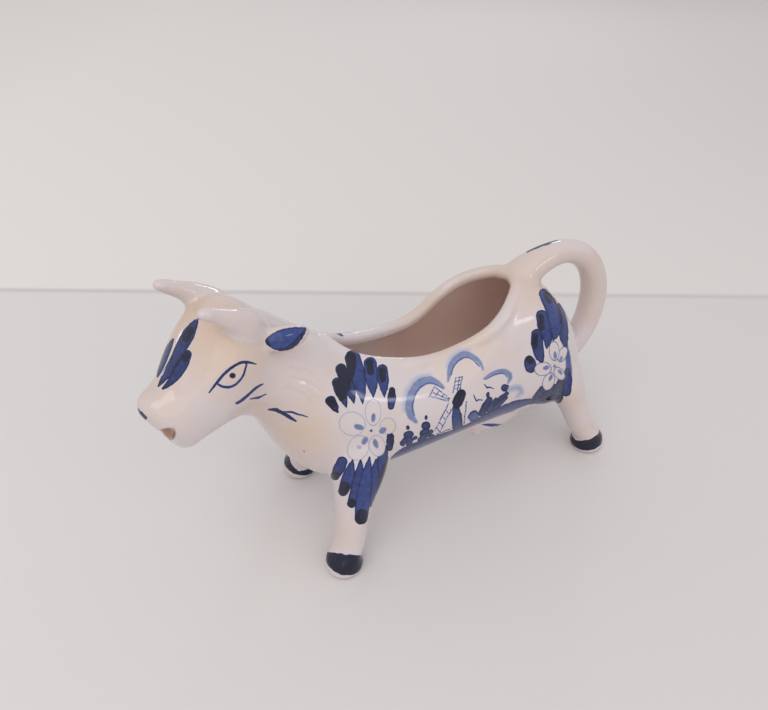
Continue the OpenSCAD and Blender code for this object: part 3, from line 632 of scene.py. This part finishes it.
def shape_inside(tree, flat, points):
    """how far inside a whole stroke or oval, in steps of the sheet"""
    if len(points[0]) == OVAL_NUMBERS:
        across, down, wide, high, tilt = points[0]
        c, s = math.cos(math.radians(tilt)), math.sin(math.radians(tilt))
        values = {"Sheet": flat, "Middle": (across, down, 0), "Long": (c / wide, s / wide, 0),
                  "Short": (-s / high, c / high, 0), "Size": math.sqrt(wide * high)}
        return add(tree, "Group", sockets=values, node_tree=OVAL)
    inside = None
    points = rounded(points)
    for a, b in zip(points, points[1:]):
        along = (b[0] - a[0], b[1] - a[1], 0)
        values = {"Sheet": flat, "Start": (a[0], a[1], 0), "Along": along,
                  "Share": 1 / (along[0] ** 2 + along[1] ** 2), "Width": a[2], "Widening": b[2] - a[2]}
        run = add(tree, "Group", sockets=values, node_tree=RUN)
        inside = run if inside is None else add(tree, "Math", inside, run, operation="MAXIMUM")
    return inside


def lay(tree, flat, strokes, grain):
    """the ink that a list of strokes leaves, one on the other"""
    for tool, ink, *points in strokes:
        edge, pool = TOOLS[tool]
        inside = shape_inside(tree, add(tree, "VectorMath", flat, (1, 1, 0), operation="MULTIPLY"), points)
        how = {"Sheet": flat, "Inside": inside, "Crisp": 1 / edge, "Ink": ink, "Pool": pool}
        if tool == "dry":
            how["Ink"] = add(tree, "Math", grain, ink, operation="MULTIPLY")
        if tool == "petal":
            # a petal is left white, with a thin outline
            flat = add(tree, "Group", sockets={**how, "Ink": 0.0}, node_tree=LAYING["over"])
            off_edge = add(tree, "Math", inside, operation="ABSOLUTE")
            how["Sheet"], how["Inside"] = flat, add(tree, "Math", OUTLINE, off_edge, operation="SUBTRACT")
        flat = add(tree, "Group", sockets=how, node_tree=LAYING[WAYS.get(tool, "into")])
    return add(tree, "SeparateXYZ", flat, out="Z")


def glaze_group():
    """clear glaze on cream clay: cloudy mottling, fine specks, a peach inner wall with painted light and shade,
    painted brown shade in the mouth, and cobalt from pale wash to navy"""
    takes, gives = {"Ink": "Float", "Folds": "Float"}, {"Color": "Color", "Normal": "Vector"}
    tree, take, give = group("glaze on clay", takes, gives)
    place = add(tree, "TexCoord", out="Object")
    # broad cloudy mottling and finer mottling, from pinkish cream to peach
    fine = add(tree, "TexNoise", place, sockets={"Scale": scale(MOTTLED), "Detail": 3})
    broad = add(tree, "TexNoise", place, sockets={"Scale": scale(CLOUDY), "Detail": 2})
    tone = add(tree, "MapRange", add(tree, "Math", fine, FINE_SHARE, broad, operation="MULTIPLY_ADD"), *TONES)
    # warmer where the glaze is thin
    warm = add(tree, "Attribute", out="Fac", attribute_name="warmth")
    tone = add(tree, "Math", tone, warm, operation="ADD", use_clamp=True)
    base = add(tree, "Mix", tone, sockets={FIRST: colour(CREAM), SECOND: colour(PEACH)}, **COLOURS)
    # pepper specks, about 0.25 mm
    cells = add(tree, "TexVoronoi", place, sockets={"Scale": scale(SPECKS_APART)}, out="Distance")
    speck = add(tree, "MapRange", cells, *SPECK_EDGE, SPECK_COVER, 0)
    base = add(tree, "Mix", speck, sockets={FIRST: base, SECOND: colour(SPECK)}, **COLOURS)
    # inside, painted light and shade: the wall toward the neck, which lies nearer to the light, is painted lighter
    # than the wall deeper down
    along = add(tree, "SeparateXYZ", place, out="X")
    inner_shade = add(tree, "MapRange", along, *INNER_SHADE_FROM)
    inner = add(tree, "Mix", inner_shade, sockets={FIRST: colour(INNER_LIT), SECOND: colour(INNER_SHADED)}, **COLOURS)
    outside = add(tree, "Attribute", out="Fac", attribute_name="outside")
    base = add(tree, "Mix", outside, sockets={FIRST: inner, SECOND: base}, **COLOURS)
    # painted shade: the mouth's cut is painted brown
    mouth = add(tree, "Attribute", out="Fac", attribute_name="mouth")
    base = add(tree, "Mix", mouth, sockets={FIRST: base, SECOND: colour(MOUTH_SHADE)}, **COLOURS)
    # streaks of thicker and thinner colour in the strokes
    streaks = add(tree, "TexNoise", place, sockets={"Scale": scale(STREAKED), "Detail": 2})
    streaks = add(tree, "Math", streaks, *STREAKS, operation="MULTIPLY_ADD")
    shade = add(tree, "ValToRGB", add(tree, "Math", take["Ink"], streaks, operation="MULTIPLY"))
    stops = shade.node.color_ramp.elements
    for i, (at, code, cover) in enumerate(COBALT):
        stop = stops[i] if i < 2 else stops.new(at)
        stop.position, stop.color = at, colour(code)[:3] + (cover,)
    painted = add(tree, "Mix", shade.node.outputs["Alpha"], sockets={FIRST: base, SECOND: shade}, **COLOURS)
    # the glaze lies in slow waves; the folds of the neck are pressed in
    waves = add(tree, "TexNoise", place, sockets={"Scale": scale(WAVY), "Detail": 1})
    wave = add(tree, "Bump", sockets={"Height": waves, "Distance": WAVES[0], "Strength": WAVES[1]})
    pressed = {"Height": take["Folds"], "Distance": FOLDED[0], "Strength": FOLDED[1], "Normal": wave}
    tree.links.new(painted, give["Color"])
    tree.links.new(add(tree, "Bump", sockets=pressed, invert=True), give["Normal"])
    return tree


GLAZE = glaze_group()


def hoof_ink(tree, place):
    """a cobalt band with uneven edges, above a wiped cream foot"""
    inside = add(tree, "Attribute", out="Fac", attribute_name="band")
    uneven = add(tree, "TexNoise", place, sockets={"Scale": scale(BAND_UNEVEN), "Detail": 2})
    return add(tree, "MapRange", add(tree, "Math", inside, uneven, operation="ADD"), *BAND_EDGE)


def stroke_ink(tree, place, layers):
    """the ink and the pressed folds that layers of strokes leave"""
    ink, folds, half = 0.0, 0.0, WANDER / 2
    drift = add(tree, "TexNoise", place, sockets={"Scale": scale(WANDER_SIZE), "Detail": 1}, out="Color")
    drift = add(tree, "VectorMath", drift, (WANDER, WANDER, 0), (-half, -half, 0), operation="MULTIPLY_ADD")
    grain = add(tree, "TexNoise", place, sockets={"Scale": scale(SKIP_SIZE), "Detail": 1})
    grain = add(tree, "MapRange", grain, *SKIPS, SKIP_INK)
    for layer, strokes in layers:
        if strokes:
            laid = add(tree, "Attribute", attribute_name=layer, out="Vector")
            flat = add(tree, "VectorMath", laid, (1, 1, 0), drift, operation="MULTIPLY_ADD")
            seen = add(tree, "SeparateXYZ", laid, out="Z")
            left = add(tree, "Math", lay(tree, flat, strokes, grain), seen, operation="MULTIPLY")
            if strokes is FOLDS:
                folds = left
            else:
                ink = add(tree, "Math", ink, left, operation="MAXIMUM")
    return ink, folds


def glaze(name, layers=(), hoof=False):
    """glossy fired glaze with its cobalt"""
    made = bpy.data.materials.new(name)
    made.use_nodes = True
    tree = made.node_tree
    place = add(tree, "TexCoord", out="Object")
    ink, folds = 0.0, 0.0
    if hoof:
        ink = hoof_ink(tree, place)
    elif layers:
        ink, folds = stroke_ink(tree, place, layers)
    look = add(tree, "Group", sockets={"Ink": ink, "Folds": folds}, node_tree=GLAZE).node.outputs
    shader = tree.nodes["Principled BSDF"]
    tree.links.new(look["Color"], shader.inputs["Base Color"])
    tree.links.new(look["Normal"], shader.inputs["Normal"])
    shader.inputs["Roughness"].default_value = 0.1
    shader.inputs["IOR"].default_value = 1.5
    return made


def patch_glaze(name):
    """the glaze with the strokes that come near one patch"""
    parts, layers, sides = PATCHES[name]
    near = [(layer, strokes if strokes is FOLDS else [s for s in strokes if near_patch(s[2:], sides)])
            for layer, strokes in layers]
    return glaze("cobalt_on_cream_" + name, near)


# the bare glaze, cobalt hooves, and one painted glaze for each patch
BARE, HOOF, FIRST_PATCH = 0, 1, 2
FINISHES = [glaze("cream_glaze"), glaze("cobalt_hoof_glaze", hoof=True), *map(patch_glaze, PATCHES)]


# ---------------------------------------------------------------- one piece for each part
def finish_of(face, part):
    """which finish a face of the skin gets; of the sheet, each point carries three numbers in a row"""
    if part.endswith("hoof") or (part.endswith("leg") and face.center.z < BAND_REACH):
        return HOOF
    reached = any(carried[name][3 * i + 2] > 0 for name in ("sheet", "sheet_ahead") for i in face.vertices)
    across, down = [sum(carried["sheet"][3 * i + axis] for i in face.vertices) / len(face.vertices) for axis in (0, 1)]
    for patch, (parts, layers, (left, top, right, low)) in enumerate(PATCHES.values(), FIRST_PATCH):
        if reached and part in parts and left <= across < right and top <= down < low:
            return patch
    return BARE


part_of_face, finish_of_face = [], []
for face in skin.data.polygons:
    part = part_at(face.center)
    part_of_face.append(PARTS.index(part))
    finish_of_face.append(finish_of(face, part))
put("finish", "INT", "FACE", finish_of_face)
put("part", "INT", "FACE", part_of_face)
for part in PARTS:
    skin.data.materials.append(bpy.data.materials.new("cut_" + part))
skin.data.polygons.foreach_set("material_index", part_of_face)
select_only(skin)
bpy.ops.object.mode_set(mode="EDIT")
bpy.ops.mesh.select_all(action="SELECT")
bpy.ops.mesh.separate(type="MATERIAL")
bpy.ops.object.mode_set(mode="OBJECT")

for piece in list(bpy.context.selected_objects):
    part = PARTS[piece.data.attributes["part"].data[0].value]
    piece.name = piece.data.name = "glazed_" + part
    finishes = [d.value for d in piece.data.attributes["finish"].data]
    used = sorted(set(finishes))
    piece.data.materials.clear()
    for finish in used:
        piece.data.materials.append(FINISHES[finish])
    piece.data.polygons.foreach_set("material_index", [used.index(finish) for finish in finishes])
    skin_normals = [tuple(d.vector) for d in piece.data.attributes["skin_normal"].data]
    piece.data.normals_split_custom_set_from_vertices(skin_normals)
    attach(piece, "root")
    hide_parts(part)
for part in PARTS:
    bpy.data.materials.remove(bpy.data.materials["cut_" + part])

# ---------------------------------------------------------------- table, wall line and light
# The faint line of painted shade in the corner between table and wall, where it meets the left and right sides of the
# sheet.
WALL_LINE, LINE_SOFT, CORNER_SHADE_COVER = ((0, 290), (SHEET_WIDE, 297)), 3 * MM, 0.8
# of these colours, the third is painted shade for the ground away from the window, and the fourth the painted shade of
# the corner line
TABLE, WALL, FALLOFF_SHADE, CORNER_SHADE = "#e1dcd9", "#e9e4de", "#bdb8b6", "#c4c1bb"
FLOOR_HALF, FALLOFF_HALF, FALLOFF_COVER = 6.0, 0.3, 0.45


def on_floor(across, down):
    """the spot on the table that shows at a place on the sheet"""
    ray = sight(across, down)
    return SHEET_PLACE + ray * (-SHEET_PLACE.z / ray.z)


bpy.ops.mesh.primitive_plane_add(size=2 * FLOOR_HALF)
floor = bpy.context.object
floor.name = "floor"
# the matt pale table, and the slightly lighter wall behind the soft line of painted shade
table = bpy.data.materials.new("pale_table")
table.use_nodes = True
tree = table.node_tree
line_left, line_right = [on_floor(*end) for end in WALL_LINE]
to_wall = Vector((0, 0, 1)).cross(line_right - line_left).normalized()
to_right = (line_right - line_left).normalized()
place = add(tree, "TexCoord", out="Object")
back = add(tree, "VectorMath", place, tuple(to_wall), operation="DOT_PRODUCT", out="Value")
past = add(tree, "Math", back, line_left.dot(to_wall), operation="SUBTRACT")
wall = add(tree, "MapRange", past, -LINE_SOFT, LINE_SOFT)
ground = add(tree, "Mix", wall, sockets={FIRST: colour(TABLE), SECOND: colour(WALL)}, **COLOURS)
# painted light falloff: the ground is painted a little brighter toward the window, on the left, and darker toward the
# right
rightward = add(tree, "VectorMath", place, tuple(to_right), operation="DOT_PRODUCT", out="Value")
falloff = add(tree, "Math", add(tree, "MapRange", rightward, -FALLOFF_HALF, FALLOFF_HALF), FALLOFF_COVER, operation="MULTIPLY")
ground = add(tree, "Mix", falloff, sockets={FIRST: ground, SECOND: colour(FALLOFF_SHADE)}, **COLOURS)
# painted shade along the corner between table and wall
corner_shade = add(tree, "MapRange", add(tree, "Math", past, operation="ABSOLUTE"), 0, LINE_SOFT, CORNER_SHADE_COVER, 0)
ground = add(tree, "Mix", corner_shade, sockets={FIRST: ground, SECOND: colour(CORNER_SHADE)}, **COLOURS)
shader = tree.nodes["Principled BSDF"]
tree.links.new(ground, shader.inputs["Base Color"])
shader.inputs["Roughness"].default_value = 0.9
shader.inputs["Specular IOR Level"].default_value = 0
floor.data.materials.append(table)

# Soft rectangular lights that face the cow: azimuth and elevation in degrees, distance, width, height, power, colour.
AIM = Vector((0, 0, 0.04))
WINDOWS = {"side_window": (36, 19, 0.9, 0.2, 0.08, 0.26, "#f4f6ff"),
           "high_window": (-62, 60, 0.9, 0.5, 0.4, 1.3, "#fffdfa"),
           "room_light": (-14, 34, 1.1, 1.4, 1.1, 2.9, "#fffefc"),
           "back_window": (-137, 11, 0.9, 0.05, 0.05, 0.06, "#fdfbff"),
           "far_window": (135, 22, 0.9, 0.1, 0.12, 0.26, "#fdfbff")}
ROOM, ROOM_STRENGTH = "#f6f6fb", 0.79
for name, (azimuth, elevation, away, wide, high, power, tint) in WINDOWS.items():
    lamp = bpy.data.objects.new(name, bpy.data.lights.new(name, "AREA"))
    bpy.context.scene.collection.objects.link(lamp)
    a, e = math.radians(azimuth), math.radians(elevation)
    back = Vector((math.sin(a) * math.cos(e), -math.cos(a) * math.cos(e), math.sin(e)))
    lamp.location = AIM + back * away
    lamp.rotation_euler = back.to_track_quat("Z", "Y").to_euler()
    lamp.data.shape, lamp.data.size, lamp.data.size_y = "RECTANGLE", wide, high
    lamp.data.energy, lamp.data.color = power, colour(tint)[:3]
world = bpy.data.worlds.new("room")
bpy.context.scene.world = world
world.use_nodes = True
world.node_tree.nodes["Background"].inputs["Color"].default_value = colour(ROOM)
world.node_tree.nodes["Background"].inputs["Strength"].default_value = ROOM_STRENGTH

SENSOR, CLIP = 36, (5 * MM, 20)
camera = bpy.data.objects.new("camera", bpy.data.cameras.new("camera"))
bpy.context.scene.collection.objects.link(camera)
camera.data.sensor_width, camera.data.lens = SENSOR, SHEET_SCALE / SHEET_WIDE * SENSOR
camera.data.clip_start, camera.data.clip_end = CLIP
columns = (ACROSS, UPWARD, TOWARD, SHEET_PLACE)
camera.matrix_world = Matrix([[c[i] for c in columns] for i in range(3)] + [[0, 0, 0, 1]])
bpy.context.scene.camera = camera
bpy.context.scene.view_settings.view_transform = "Standard"

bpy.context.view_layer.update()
bpy.ops.object.select_all(action="DESELECT")
